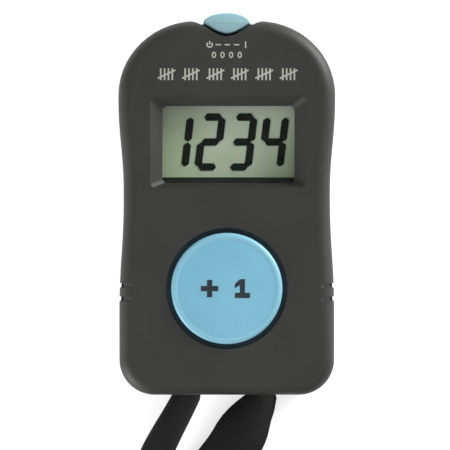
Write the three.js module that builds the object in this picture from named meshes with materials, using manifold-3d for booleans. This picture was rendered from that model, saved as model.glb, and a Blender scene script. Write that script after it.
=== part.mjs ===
// Electronic hand tally counter with its neck lanyard. It lies on its back, face up:
// +X to the right of the face, +Y towards the reset button, +Z out of the face. Millimetres.
import * as THREE from 'three';
import { mergeVertices } from 'three/addons/utils/BufferGeometryUtils.js';
import Module from 'manifold-3d';

const wasm = await Module();
wasm.setup();

// Case
const caseLength = 70;
const caseThick = 15;
const shoulderHalf = 20.3;
const waistHalf = 19.3;
const gripHalf = 20.1;
const topFlatHalf = 5.8;
const shoulderY = 21.1;
const waistY = 2.3;
const gripY = -19.6;
const cornerRadius = 6.6;
const edgeRound = 2.5;
const wall = 1.8;
const faceWall = 2;
const partingZ = 6;
const fitGap = 0.3;
const caseTop = caseLength / 2;
const faceInner = caseThick - faceWall;

// Count button, silicone dome and contact pill
const countY = -15.06;
const countRadius = 10.4;
const countHole = 11.3;
const countFlange = 12.2;
const countTop = 16;
const flangeTop = faceInner - fitGap;
const flangeBottom = 11.5;
const domeRadius = 5;
const domeTop = 10.7;

// Reset button, its pocket and its switch
const resetProud = 1.5;
const resetHalfWidth = 4.4;
const resetGap = 0.6;
const resetLow = 3.2;
const resetHigh = 13.3;
const scallopHalf = 7.2;
const scallopDepth = 3;
const pocketHalf = 8;
const pocketInner = 30.6;
const stemZ = 4.4;
const stemRadius = 1.1;
const stemEnd = 26.9;
const switchTop = 24.1;

// Window, and the display stack that sits a little higher behind it
const displayX = 0.3;
const displayY = 11.8;
const windowWidth = 24.7;
const windowHeight = 14.4;
const frameBevel = 1.6;
const frameDepth = 1.4;
const glassY = 12.45;
const glassWidth = 28;
const glassHeight = 17.6;
const rearGlassHeight = 13.5;

// Circuit board
const boardHalf = 15.5;
const boardLow = -25.6;
const boardHigh = 24.6;
const boardBack = 6.6;
const boardFront = 7.6;

// Battery bay
const cellY = -14;
const cellRadius = 10;
const cellLow = 1.8;
const cellHigh = 5;
const capRadius = 11.3;
const capThick = 1.5;
const lugRadius = 12.4;
const lugCount = 3;
const lugAngle = 30;
const capTurn = 45;
const wellRadius = 12.7;

// Screws
const caseScrews = [[-12.5, 28], [12.5, 28], [-14.8, -28.6], [14.8, -28.6]];
const boardScrewX = 13.4;
const boardScrewY = -0.2;
const bossRadius = 2.6;
const postRadius = 2.9;

// Side grip grooves
const grooveYs = [-14.5, -17];
const grooveWidth = 0.9;

// Lanyard: flat strap through two slots in the bottom end, wound into a tied hank
const strapWidth = 10;
const strapThick = 1;
const slotX = 7.1;
const slotWidth = 7;
const slotLow = 2.2;
const slotHigh = 12.8;
const strapZ = 7.5;
const hankZ = 6.1;
const hankX = 4;
const hankTop = -86;
const hankRun = 80;
const hankRadius = 32;
const strapSpacing = 4;
const waistSpacing = 3;
const hankRuns = 6;
const hankSkin = 0.9;
const tieLength = 8;
const tieWall = 0.8;

// Finishes
const finishes = {
  casePlastic: { color: 0x3a3a38, roughness: 0.75, metalness: 0 },
  paleBlue: { color: 0x78b5ca, roughness: 0.5, metalness: 0 },
  resetBlue: { color: 0x7ea6b4, roughness: 0.45, metalness: 0 },
  clearPlastic: { color: 0xdfe6e2, roughness: 0.05, metalness: 0 },
  glass: { color: 0xc3ccb8, roughness: 0.05, metalness: 0 },
  reflector: { color: 0x87937f, roughness: 0.6, metalness: 0 },
  whitePlastic: { color: 0xd8d8d2, roughness: 0.6, metalness: 0 },
  blackPlastic: { color: 0x19191b, roughness: 0.5, metalness: 0 },
  board: { color: 0x2f6b45, roughness: 0.5, metalness: 0 },
  epoxy: { color: 0x121214, roughness: 0.35, metalness: 0 },
  zebra: { color: 0x30323a, roughness: 0.7, metalness: 0 },
  silicone: { color: 0xd9d6cc, roughness: 0.6, metalness: 0 },
  carbon: { color: 0x1a1a1a, roughness: 0.8, metalness: 0 },
  steel: { color: 0xb9bcc0, roughness: 0.3, metalness: 1 },
  plated: { color: 0xc9c2a4, roughness: 0.3, metalness: 1 },
  webbing: { color: 0x1b1b1c, roughness: 0.9, metalness: 0 },
};

const counter = new THREE.Group();
counter.position.y = -resetProud / 2;

// A closed geometry as a manifold solid, its seams merged and its flat triangles dropped
function toSolid(geometry) {
  const bare = geometry.clone();
  bare.deleteAttribute('normal');
  bare.deleteAttribute('uv');
  const merged = mergeVertices(bare, 1e-4);
  const corners = merged.index.array;
  const kept = [];
  for (let i = 0; i < corners.length; i += 3) {
    const [a, b, c] = [corners[i], corners[i + 1], corners[i + 2]];
    if (a !== b && b !== c && c !== a) kept.push(a, b, c);
  }
  return new wasm.Manifold(new wasm.Mesh({
    numProp: 3,
    vertProperties: new Float32Array(merged.attributes.position.array),
    triVerts: new Uint32Array(kept),
  }));
}

function addPart(name, solid, finish) {
  const mesh = solid.getMesh();
  const geometry = new THREE.BufferGeometry();
  geometry.setAttribute('position', new THREE.BufferAttribute(mesh.vertProperties, 3));
  geometry.setIndex(new THREE.BufferAttribute(mesh.triVerts, 1));
  geometry.computeVertexNormals();
  const material = new THREE.MeshStandardMaterial({ ...finishes[finish], flatShading: true });
  const part = new THREE.Mesh(geometry, material);
  part.name = name;
  counter.add(part);
}

const join = (solids) => solids.reduce((whole, solid) => whole.add(solid));
const cut = (body, tools) => tools.reduce((left, tool) => left.subtract(tool), body);

// A box between two corners
function block(x0, x1, y0, y1, z0, z1) {
  const box = new THREE.BoxGeometry(x1 - x0, y1 - y0, z1 - z0);
  box.translate((x0 + x1) / 2, (y0 + y1) / 2, (z0 + z1) / 2);
  return toSolid(box);
}

// A box of a given size about a centre in XY
function plate(x, y, width, height, z0, z1) {
  return block(x - width / 2, x + width / 2, y - height / 2, y + height / 2, z0, z1);
}

// An upright cylinder
function disc(x, y, radius, z0, z1, sides = 24) {
  const cylinder = new THREE.CylinderGeometry(radius, radius, z1 - z0, sides);
  cylinder.rotateX(Math.PI / 2);
  cylinder.translate(x, y, (z0 + z1) / 2);
  return toSolid(cylinder);
}

// A cylinder that lies along Y
function rod(x, z, radius, y0, y1, sides = 20) {
  const cylinder = new THREE.CylinderGeometry(radius, radius, y1 - y0, sides);
  cylinder.translate(x, (y0 + y1) / 2, z);
  return toSolid(cylinder);
}

// A turned piece about an upright axis, from [radius, height] points, lowest on the axis first
function turned(x, y, profile, sides = 40) {
  const lathe = new THREE.LatheGeometry(profile.map(([r, z]) => new THREE.Vector2(r, z)), sides);
  lathe.rotateX(Math.PI / 2);
  lathe.translate(x, y, 0);
  return toSolid(lathe);
}

// An outline in XY raised from z0 to z1
function raised(points, z0, z1, bevel = null) {
  const shape = new THREE.Shape(points.map(([x, y]) => new THREE.Vector2(x, y)));
  const bevelHeight = bevel ? bevel.height : 0;
  const extrusion = new THREE.ExtrudeGeometry(shape, {
    depth: z1 - z0 - 2 * bevelHeight,
    bevelEnabled: bevel !== null,
    bevelThickness: bevelHeight,
    bevelSize: bevel ? bevel.width : 0,
    bevelOffset: bevel ? bevel.offset : 0,
    bevelSegments: bevel ? bevel.segments : 1,
  });
  extrusion.translate(0, 0, z0 + bevelHeight);
  return toSolid(extrusion);
}

// The case outline, clockwise from the top: elliptic shoulders, a waist, round bottom corners
function caseOutline(inset = 0) {
  const sweepUp = (shoulderY - waistY) * 0.45;
  const sweepDown = (waistY - gripY) * 0.45;
  const path = new THREE.Path();
  path.moveTo(topFlatHalf, caseTop);
  path.absellipse(topFlatHalf, shoulderY, shoulderHalf - topFlatHalf, caseTop - shoulderY,
    Math.PI / 2, 0, true);
  path.bezierCurveTo(shoulderHalf, shoulderY - sweepUp, waistHalf, waistY + sweepUp,
    waistHalf, waistY);
  path.bezierCurveTo(waistHalf, waistY - sweepDown, gripHalf, gripY + sweepDown, gripHalf, gripY);
  path.lineTo(gripHalf, cornerRadius - caseTop);
  path.absarc(gripHalf - cornerRadius, cornerRadius - caseTop, cornerRadius, 0, -Math.PI / 2, true);
  const right = path.getPoints(5).map((point) => [point.x, point.y]);
  const left = right.map(([x, y]) => [-x, y]).reverse();
  const ring = [...right, ...left];
  return ring.map(([x, y], i) => {
    const [beforeX, beforeY] = ring[(i + ring.length - 1) % ring.length];
    const [afterX, afterY] = ring[(i + 1) % ring.length];
    const along = new THREE.Vector2(afterX - beforeX, afterY - beforeY).normalize();
    return [x + along.y * inset, y - along.x * inset];
  });
}

const innerEdge = { height: 1.2, width: 1.2, offset: -1.2, segments: 1 };
const outerEdge = { height: edgeRound, width: edgeRound, offset: -edgeRound, segments: 3 };
const caseBlock = raised(caseOutline(), 0, caseThick, outerEdge);
const caseHollow = raised(caseOutline(wall), wall, faceInner, innerEdge);

// The floor of the scallop in the top end: a smooth dip around the reset button
function scallopY(x) {
  return caseTop - scallopDepth * (1 - THREE.MathUtils.smoothstep(Math.abs(x), 0, scallopHalf));
}

// The pocket that the reset button moves in, open to the front and the top
function resetPocket() {
  const steps = 20;
  const floor = Array.from({ length: steps + 1 }, (_, i) => {
    const x = scallopHalf * (2 * i / steps - 1);
    return [x, scallopY(x)];
  });
  return raised([...floor, [scallopHalf, caseTop + 3], [-scallopHalf, caseTop + 3]],
    resetLow - 0.6, caseThick + 1);
}

function strapSlots() {
  return [-slotX, slotX].map((x) => (
    plate(x, -caseTop, slotWidth, 2 * (wall + 0.6), slotLow, slotHigh)));
}

// A groove across each side wall and over its front edge
function gripGrooves() {
  const section = [[19.1, 3], [19.1, 12], [17.3, 15.1], [21, 15.1], [21, 3]];
  return [-1, 1].flatMap((side) => grooveYs.map((y) => {
    const outline = section.map(([x, z]) => new THREE.Vector2(side * x, z));
    const groove = new THREE.ExtrudeGeometry(new THREE.Shape(outline),
      { depth: grooveWidth, bevelEnabled: false });
    groove.rotateX(Math.PI / 2);
    groove.translate(0, y + grooveWidth / 2, 0);
    return toSolid(groove);
  }));
}

// What both shells share: the reset pocket's block and the rib behind the strap slots
function innerBlocks(z0, z1) {
  return [
    block(-pocketHalf, pocketHalf, pocketInner, caseTop - 0.8, z0, z1),
    block(-10, 10, -28.9, -28, z0, z1),
  ];
}

function frontShell() {
  const low = partingZ + fitGap;
  const slab = block(-30, 30, -40, 40, low, caseThick + 1);
  const bosses = caseScrews.map(([x, y]) => disc(x, y, bossRadius, low, faceInner + 0.5));
  const boardBosses = [-1, 1].map((side) => (
    disc(side * boardScrewX, boardScrewY, 2.2, boardFront + fitGap, faceInner + 0.5)));
  const halfWidth = windowWidth / 2;
  const halfHeight = windowHeight / 2;
  const windowOutline = [[-halfWidth, -halfHeight], [halfWidth, -halfHeight],
    [halfWidth, halfHeight], [-halfWidth, halfHeight]]
    .map(([x, y]) => [x + displayX, y + displayY]);
  const frameCut = raised(windowOutline, caseThick - frameDepth, caseThick + 4,
    { height: frameDepth, width: frameBevel, offset: 0, segments: 1 });
  return cut(join([cut(caseBlock.intersect(slab), [caseHollow]), ...bosses, ...boardBosses,
    ...innerBlocks(low, faceInner + 0.5)]), [
    frameCut,
    plate(displayX, displayY, windowWidth, windowHeight, faceInner - 0.5, caseThick),
    disc(0, countY, countHole, faceInner - 0.5, caseThick + 1, 48),
    resetPocket(),
    ...strapSlots(),
    ...gripGrooves(),
    ...caseScrews.map(([x, y]) => disc(x, y, 1.1, low - 1, 11, 12)),
    ...[-1, 1].map((side) => disc(side * boardScrewX, boardScrewY, 1, 7, 11.5, 12)),
  ]);
}

// The rear shell's lip stands behind the parting gap, inside the front shell's wall
function rearLip() {
  const foot = cut(raised(caseOutline(wall - 0.3), 4, partingZ),
    [raised(caseOutline(wall + fitGap + 1), 3, partingZ + 1)]);
  const lip = cut(raised(caseOutline(wall + fitGap), partingZ - 0.5, 7.2),
    [raised(caseOutline(wall + fitGap + 1), 5, 8)]);
  return cut(foot.add(lip), [
    block(-pocketHalf - 0.6, pocketHalf + 0.6, 25, 40, partingZ, 8),
    block(-11, 11, -40, -25, 3, 8),
    ...caseScrews.map(([x, y]) => disc(x, y, bossRadius + fitGap, partingZ, 8)),
  ]);
}

// A sector of a disc about the battery cap's axis, in degrees
function capSector(middle, span, radius, z0, z1) {
  const steps = 5;
  const arc = Array.from({ length: steps + 1 }, (_, i) => {
    const angle = THREE.MathUtils.degToRad(middle - span / 2 + span * i / steps);
    return [radius * Math.cos(angle), cellY + radius * Math.sin(angle)];
  });
  return raised([[0, cellY], ...arc], z0, z1);
}

const lugMiddles = Array.from({ length: lugCount }, (_, i) => 90 + 360 * i / lugCount);

function rearShell() {
  const slab = block(-30, 30, -40, 40, -1, partingZ);
  const posts = caseScrews.map(([x, y]) => disc(x, y, postRadius, 1, partingZ - 0.3));
  const well = cut(disc(0, cellY, wellRadius + 1, 1, 5.6, 48),
    [disc(0, cellY, wellRadius, 0, 6, 48)]);
  return cut(join([cut(caseBlock.intersect(slab), [caseHollow]), rearLip(), well, ...posts,
    ...innerBlocks(1, partingZ)]), [
    disc(0, cellY, capRadius + fitGap, -1, 3, 48),
    ...lugMiddles.map((angle) => (
      capSector(angle + capTurn, lugAngle + 6, lugRadius + 0.25, -1, 3))),
    resetPocket(),
    block(-1.45, 1.45, 30, 33, 2.95, partingZ + 1),
    ...strapSlots(),
    ...gripGrooves(),
    ...caseScrews.map(([x, y]) => disc(x, y, 2.05, -1, 2.3, 20)),
    ...caseScrews.map(([x, y]) => disc(x, y, 1.3, 0, partingZ + 1, 12)),
  ]);
}

function batteryCap() {
  const cup = turned(0, cellY, [[0, 0], [capRadius - 0.3, 0], [capRadius, 0.3], [capRadius, 3.2],
    [cellRadius + 0.4, 3.2], [cellRadius + 0.4, capThick], [0, capThick]], 48);
  const ring = disc(0, cellY, cellRadius + 0.8, 2, 3.2, 48);
  const lugs = lugMiddles.map((angle) => (
    cut(capSector(angle, lugAngle, lugRadius, 2.1, 3.1), [ring])));
  return cut(join([cup, ...lugs]), [plate(0, cellY, 13, 1.6, -0.5, 0.8)]);
}

function countButton() {
  return turned(0, countY, [[0, 11], [2, 11], [2, 14.2], [9.4, 14.2], [9.4, flangeBottom],
    [countFlange, flangeBottom], [countFlange, flangeTop], [countRadius, flangeTop],
    [countRadius, countTop - 0.9], [countRadius - 0.25, countTop - 0.35],
    [countRadius - 0.8, countTop - 0.1], [0, countTop]], 48);
}

function countDome() {
  return turned(0, countY, [[0, 9.9], [1.6, 9.9], [domeRadius - 1.2, 8.5], [domeRadius - 1, 7.9],
    [domeRadius, 7.9], [domeRadius, 8.5], [2.4, domeTop], [0, domeTop]], 28);
}

// The reset button's cap follows the scallop below and bulges above; the flange keeps it in the case
function resetButton() {
  const steps = 14;
  const sideY = scallopY(resetHalfWidth) + resetGap;
  const bulge = caseTop + resetProud - sideY;
  const floor = Array.from({ length: steps + 1 }, (_, i) => {
    const x = resetHalfWidth * (2 * i / steps - 1);
    return [x, scallopY(x) + resetGap];
  });
  const crown = Array.from({ length: steps - 1 }, (_, i) => {
    const angle = Math.PI * (i + 1) / steps;
    return [resetHalfWidth * Math.cos(angle), sideY + bulge * Math.sin(angle)];
  });
  return join([
    raised([...floor, ...crown], resetLow, resetHigh),
    rod(0, stemZ, stemRadius, stemEnd, caseTop - 0.8, 16),
    block(-2.5, 2.5, 29.3, pocketInner - fitGap, 3.3, 5.6),
  ]);
}

function switchBody() {
  return cut(block(-3, 3, 19.3, switchTop, 2.6, 6.3), [rod(0, stemZ, 1.4, 22.1, switchTop + 1, 16)]);
}

function caseScrew(x, y) {
  const cap = cut(disc(x, y, 1.75, 0.5, 2, 20),
    [plate(x, y, 2.2, 0.5, 0, 1.1), plate(x, y, 0.5, 2.2, 0, 1.1)]);
  return cap.add(disc(x, y, 0.8, 1.5, 10.5, 12));
}

function boardScrew(x) {
  const cap = cut(disc(x, boardScrewY, 1.6, 5, 6.3, 20),
    [plate(x, boardScrewY, 2, 0.5, 4, 5.6), plate(x, boardScrewY, 0.5, 2, 4, 5.6)]);
  return cap.add(disc(x, boardScrewY, 0.7, 6, 11.2, 12));
}

function circuitBoard() {
  return cut(block(-boardHalf, boardHalf, boardLow, boardHigh, boardBack, boardFront),
    [-1, 1].map((side) => disc(side * boardScrewX, boardScrewY, 1.1, 6, 8, 16)));
}

function displayHolder() {
  const low = boardFront + fitGap;
  return cut(plate(displayX, glassY, 31.6, 20, low, 11.6),
    [plate(displayX, glassY, glassWidth + 0.6, glassHeight + 0.6, low - 1, 12)]);
}

// The negative leaf runs down from the board to the middle of the cell
function negativeLeaf() {
  const section = [[-7, 6.3], [-3, 6.3], [1, 5.6], [4, 5.6], [4, 5.3], [0.9, 5.3], [-3.1, 6], [-7, 6]];
  const outline = section.map(([x, z]) => new THREE.Vector2(x, z));
  const leaf = new THREE.ExtrudeGeometry(new THREE.Shape(outline), { depth: 4, bevelEnabled: false });
  leaf.rotateX(Math.PI / 2);
  leaf.translate(0, cellY + 2, 0);
  return toSolid(leaf);
}

// The positive tab stands beside the cell and folds flat under the board
function positiveTab() {
  const inner = cellY + cellRadius + fitGap;
  return block(-2.5, 2.5, inner, inner + 0.4, 3.6, 6.3).add(
    block(-2.5, 2.5, inner, inner + 1.8, 5.9, 6.3));
}

// A flat strap along stations [x, y, z, roll]: roll 0 lies flat, roll 90 stands on its edge
function strap(stations, steps) {
  const middle = new THREE.CatmullRomCurve3(
    stations.map(([x, y, z]) => new THREE.Vector3(x, y, z)), false, 'centripetal');
  const ribbon = new THREE.BoxGeometry(strapWidth, strapThick, 1, 1, 1, steps);
  const corner = ribbon.attributes.position;
  for (let i = 0; i < corner.count; i += 1) {
    const t = corner.getZ(i) + 0.5;
    const place = t * (stations.length - 1);
    const before = Math.min(Math.floor(place), stations.length - 2);
    const roll = THREE.MathUtils.degToRad(
      THREE.MathUtils.lerp(stations[before][3], stations[before + 1][3], place - before));
    const along = middle.getTangent(t);
    const level = new THREE.Vector3().crossVectors(along, new THREE.Vector3(0, 0, 1)).normalize();
    const raisedSide = new THREE.Vector3().crossVectors(level, along);
    const across = level.clone().multiplyScalar(Math.cos(roll))
      .addScaledVector(raisedSide, Math.sin(roll));
    const through = new THREE.Vector3().crossVectors(along, across);
    const point = middle.getPoint(t)
      .addScaledVector(across, corner.getX(i))
      .addScaledVector(through, corner.getY(i));
    corner.setXYZ(i, point.x, point.y, point.z);
  }
  return toSolid(ribbon);
}

const leftStations = [
  [-0.15, -31.05, strapZ, 90], [-3.2, -31.05, strapZ, 88], [-6.2, -32.4, strapZ, 76],
  [-7.3, -34.9, strapZ, 62], [-9.2, -38.6, 7.4, 60], [-11.4, -42.6, 7.2, 57],
  [-13, -45.7, 7, 55], [-15.5, -50.5, 6.6, 62], [-18.5, -57, 6.3, 75],
  [-22.6, -66, hankZ, 86], [-26, -75, hankZ, 90], [-28, hankTop + fitGap, hankZ, 90],
];
const rightStations = [
  [0.15, -31.05, strapZ, 90], [3.2, -31.05, strapZ, 91], [6.4, -32.3, strapZ, 95],
  [7.5, -34.9, strapZ, 108], [5.2, -38.6, 7.1, 136], [2.7, -42.6, 6.6, 168],
  [0.9, -45.7, 6.2, 180], [-3, -50.6, 5.9, 168], [-8, -55.7, 5.9, 135],
  [-16, -65, hankZ, 100], [-21.8, -75, hankZ, 90], [-24, hankTop + fitGap, hankZ, 90],
];

// The hank's outer shape: round ends and a waist pinched by the tie
function hank() {
  const bottom = hankTop - hankRun;
  const waist = waistSpacing * (hankRuns - 1) / 2 + hankSkin;
  const outer = hankRadius + hankSkin;
  const topRadius = hankRadius - strapSpacing + hankSkin;
  const topX = hankX + strapSpacing;
  const pinch = (t) => waist + (outer - waist) * (1 + Math.cos(2 * Math.PI * t)) / 2;
  const along = Array.from({ length: 17 }, (_, i) => i / 16);
  const around = Array.from({ length: 17 }, (_, i) => Math.PI * (i + 0.5) / 17);
  return raised([
    ...along.map((t) => [hankX - pinch(t), hankTop - hankRun * t]),
    ...around.map((angle) => [hankX - outer * Math.cos(angle), bottom - outer * Math.sin(angle)]),
    ...along.map((t) => [hankX + pinch(t), bottom + hankRun * t]),
    ...around.map((angle) => [topX + topRadius * Math.cos(angle), hankTop + topRadius * Math.sin(angle)]),
    [topX - topRadius, hankTop],
  ], hankZ - strapWidth / 2, hankZ + strapWidth / 2);
}

// The tie: a flat band round the hank's waist
function tie() {
  const middle = hankTop - hankRun / 2;
  const inner = waistSpacing * (hankRuns - 1) / 2 + hankSkin + 1;
  const low = hankZ - strapWidth / 2 - fitGap;
  const high = hankZ + strapWidth / 2 + fitGap;
  const [y0, y1] = [middle - tieLength / 2, middle + tieLength / 2];
  return cut(
    block(hankX - inner - tieWall, hankX + inner + tieWall, y0, y1, low - tieWall, high + tieWall),
    [block(hankX - inner, hankX + inner, y0 - 1, y1 + 1, low, high)]);
}

addPart('front_shell', frontShell(), 'casePlastic');
addPart('rear_shell', rearShell(), 'casePlastic');
addPart('battery_cap', batteryCap(), 'casePlastic');
addPart('display_window', plate(displayX, displayY, 31, 19, 11.9, flangeTop), 'clearPlastic');
addPart('display_holder', displayHolder(), 'blackPlastic');
addPart('lcd_front_glass', plate(displayX, glassY, glassWidth, glassHeight, 10.9, 11.6), 'glass');
addPart('lcd_rear_glass', plate(displayX, glassY, glassWidth, rearGlassHeight, 9.9, 10.6), 'glass');
addPart('lcd_reflector', plate(displayX, glassY, glassWidth, rearGlassHeight, 9.3, 9.6), 'reflector');
[['zebra_strip_upper', 1], ['zebra_strip_lower', -1]].forEach(([name, side]) => {
  const middle = glassY + side * (glassHeight - 1.7) / 2;
  addPart(name, plate(displayX, middle, 26, 1.7, boardFront + fitGap, 10.6), 'zebra');
});
addPart('circuit_board', circuitBoard(), 'board');
addPart('controller_blob', turned(-3.5, 12, [[0, 7.9], [3.4, 7.9], [3, 8.5], [1.8, 8.9], [0, 9]], 20),
  'epoxy');
addPart('quartz_crystal', rod(8, 5.3, 1, 3, 9, 16), 'steel');
addPart('filter_capacitor', rod(-8, 4.4, 1.9, 4, 9.5, 20), 'epoxy');
addPart('count_button', countButton(), 'paleBlue');
addPart('count_dome', countDome(), 'silicone');
addPart('count_pill', disc(0, countY, 1.3, 8.8, 9.6, 16), 'carbon');
addPart('reset_button', resetButton(), 'resetBlue');
addPart('reset_switch_body', switchBody(), 'epoxy');
addPart('reset_switch_plunger', rod(0, stemZ, 1.1, 22.9, stemEnd - fitGap, 16), 'whitePlastic');
addPart('coin_cell', turned(0, cellY, [[0, cellLow], [cellRadius, cellLow],
  [cellRadius, cellHigh - 0.6], [cellRadius - 1, cellHigh - 0.4], [cellRadius - 1.2, cellHigh],
  [0, cellHigh]], 48), 'steel');
addPart('cell_contact_positive', positiveTab(), 'plated');
addPart('cell_contact_negative', negativeLeaf(), 'plated');
caseScrews.forEach(([x, y], i) => addPart(`case_screw_${i + 1}`, caseScrew(x, y), 'steel'));
addPart('board_screw_left', boardScrew(-boardScrewX), 'steel');
addPart('board_screw_right', boardScrew(boardScrewX), 'steel');
addPart('lanyard_left_strand', strap(leftStations, 30), 'webbing');
addPart('lanyard_right_strand', strap(rightStations, 30), 'webbing');
addPart('lanyard_hank', hank(), 'webbing');
addPart('lanyard_tie', tie(), 'webbing');

export default counter;
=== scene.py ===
import math

import bmesh
import bpy
from mathutils import Matrix, Vector


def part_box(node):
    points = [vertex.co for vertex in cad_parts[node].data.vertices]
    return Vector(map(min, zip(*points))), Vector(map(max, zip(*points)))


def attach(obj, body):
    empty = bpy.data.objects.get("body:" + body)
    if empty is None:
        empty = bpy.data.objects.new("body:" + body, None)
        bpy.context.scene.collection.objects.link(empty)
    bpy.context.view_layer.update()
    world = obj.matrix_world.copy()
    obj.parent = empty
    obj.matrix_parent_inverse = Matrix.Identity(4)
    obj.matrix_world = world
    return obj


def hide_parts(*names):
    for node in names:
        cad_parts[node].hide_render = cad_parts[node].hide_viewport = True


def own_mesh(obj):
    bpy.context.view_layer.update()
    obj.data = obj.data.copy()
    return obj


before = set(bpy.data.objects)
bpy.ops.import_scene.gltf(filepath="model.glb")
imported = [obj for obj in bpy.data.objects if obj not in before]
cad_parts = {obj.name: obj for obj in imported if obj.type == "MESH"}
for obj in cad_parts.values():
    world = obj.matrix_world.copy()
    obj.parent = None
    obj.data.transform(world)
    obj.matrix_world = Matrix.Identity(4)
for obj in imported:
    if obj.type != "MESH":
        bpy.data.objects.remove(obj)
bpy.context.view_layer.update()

# Sizes are in millimetres about the case's middle, and at() turns a place into metres
mm = 0.001
shellLow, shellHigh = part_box("front_shell")
middleY = (shellLow.y + shellHigh.y) / 2 / mm
caseTop = (shellHigh.y - shellLow.y) / 2 / mm
faceZ = shellHigh.z / mm
up = Vector((0, 0, 1))


def at(x, y, z=0.0):
    return Vector((x, y + middleY, z)) * mm


def middleOf(node):
    low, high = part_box(node)
    centre, size = (low + high) / 2 / mm, (high - low) / mm
    return Vector((centre.x, centre.y - middleY, centre.z)), size


# Camera and lanyard first

cameraSetup = {
    "acrossFrame": 84.9,
    "height": 620,
    "aimX": -0.34,
    "aimY": -3.2,
    "scalePlane": 7.5,
}

camera = bpy.data.objects.new("camera", bpy.data.cameras.new("camera"))
bpy.context.scene.collection.objects.link(camera)
camera.location = at(cameraSetup["aimX"], cameraSetup["aimY"], cameraSetup["height"])
reach = cameraSetup["height"] - cameraSetup["scalePlane"]
camera.data.lens = camera.data.sensor_width * reach / cameraSetup["acrossFrame"]
camera.data.clip_start, camera.data.clip_end = 0.01, 20
bpy.context.scene.camera = camera
bpy.context.scene.view_settings.view_transform = "Standard"


# Materials

def startMaterial(name, colour, roughness, metallic=0.0):
    material = bpy.data.materials.new(name)
    material.use_nodes = True
    material.diffuse_color = (*colour, 1)
    nodes = material.node_tree.nodes
    shader = nodes["Principled BSDF"]
    shader.inputs["Base Color"].default_value = (*colour, 1)
    shader.inputs["Roughness"].default_value = roughness
    shader.inputs["Metallic"].default_value = metallic
    return material, shader


def addNode(material, kind, **values):
    node = material.node_tree.nodes.new(kind)
    for name, value in values.items():
        if hasattr(node, name):
            setattr(node, name, value)
        else:
            node.inputs[name].default_value = value
    return node


def joinNodes(material, *pairs):
    for source, target in pairs:
        material.node_tree.links.new(source, target)


def pattern(material, kind, scale, **values):
    place = addNode(material, "ShaderNodeTexCoord")
    node = addNode(material, kind, Scale=scale, **values)
    joinNodes(material, (place.outputs["Object"], node.inputs["Vector"]))
    return node


def twoColours(material, shader, source, dark, light, low=0.35, high=0.65):
    ramp = addNode(material, "ShaderNodeValToRGB")
    ramp.color_ramp.elements[0].position = low
    ramp.color_ramp.elements[0].color = (*dark, 1)
    ramp.color_ramp.elements[1].position = high
    ramp.color_ramp.elements[1].color = (*light, 1)
    joinNodes(material, (source, ramp.inputs["Fac"]), (ramp.outputs["Color"], shader.inputs["Base Color"]))
    return ramp


def roughRange(material, shader, source, smoothest, roughest):
    span = addNode(material, "ShaderNodeMapRange")
    span.inputs["To Min"].default_value = smoothest
    span.inputs["To Max"].default_value = roughest
    joinNodes(material, (source, span.inputs["Value"]), (span.outputs["Result"], shader.inputs["Roughness"]))


def addBump(material, shader, source, strength, distance):
    bump = addNode(material, "ShaderNodeBump", Strength=strength, Distance=distance)
    joinNodes(material, (source, bump.inputs["Height"]), (bump.outputs["Normal"], shader.inputs["Normal"]))


def linear(red, green, blue):
    def one(value):
        value /= 255
        return value / 12.92 if value <= 0.04045 else ((value + 0.055) / 1.055) ** 2.4
    return one(red), one(green), one(blue)


# Moulded plastic: a fine spark-eroded grain, a slow change of tone, and duller patches
def mouldedPlastic(name, dark, light, smoothest, roughest, grain=0.35, depth=0.00003):
    material, shader = startMaterial(name, light, roughest)
    tone = pattern(material, "ShaderNodeTexNoise", 90, Detail=4.0, Roughness=0.6)
    twoColours(material, shader, tone.outputs["Fac"], dark, light)
    wear = pattern(material, "ShaderNodeTexNoise", 420, Detail=5.0, Roughness=0.65)
    roughRange(material, shader, wear.outputs["Fac"], smoothest, roughest)
    texture = pattern(material, "ShaderNodeTexNoise", 3600, Detail=2.0, Roughness=0.5)
    addBump(material, shader, texture.outputs["Fac"], grain, depth)
    return material


# A paler band painted round an upright axis at x, y, between two radii: a painted highlight, where the rim's rounded
# edge catches light
def rimHighlightBand(material, x, y, inner, outer, tint, amount):
    shader = material.node_tree.nodes["Principled BSDF"]
    before = shader.inputs["Base Color"].links[0].from_socket
    place = addNode(material, "ShaderNodeTexCoord")
    flat = addNode(material, "ShaderNodeVectorMath", operation="MULTIPLY")
    flat.inputs[1].default_value = (1, 1, 0)
    reach = addNode(material, "ShaderNodeVectorMath", operation="DISTANCE")
    reach.inputs[1].default_value = at(x, y)
    share = addNode(material, "ShaderNodeMapRange", interpolation_type="SMOOTHSTEP")
    share.inputs["From Min"].default_value = inner * mm
    share.inputs["From Max"].default_value = outer * mm
    share.inputs["To Max"].default_value = amount
    blend = addNode(material, "ShaderNodeMix", data_type="RGBA")
    blend.inputs[7].default_value = (*tint, 1)
    joinNodes(material,
              (place.outputs["Object"], flat.inputs[0]),
              (flat.outputs["Vector"], reach.inputs[0]),
              (reach.outputs["Value"], share.inputs["Value"]),
              (share.outputs["Result"], blend.inputs["Factor"]),
              (before, blend.inputs[6]),
              (blend.outputs[2], shader.inputs["Base Color"]))


def brightMetal(name, dark, light, smoothest, roughest, scale=900):
    material, shader = startMaterial(name, light, smoothest, 1.0)
    tone = pattern(material, "ShaderNodeTexNoise", scale, Detail=4.0)
    twoColours(material, shader, tone.outputs["Fac"], dark, light)
    roughRange(material, shader, tone.outputs["Fac"], smoothest, roughest)
    addBump(material, shader, tone.outputs["Fac"], 0.15, 0.00002)
    return material


def clearSheet(name, colour, alpha, roughness):
    material, shader = startMaterial(name, colour, roughness)
    shader.inputs["Alpha"].default_value = alpha
    haze = pattern(material, "ShaderNodeTexNoise", 260, Detail=3.0)
    roughRange(material, shader, haze.outputs["Fac"], roughness, roughness + 0.06)
    return material


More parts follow.
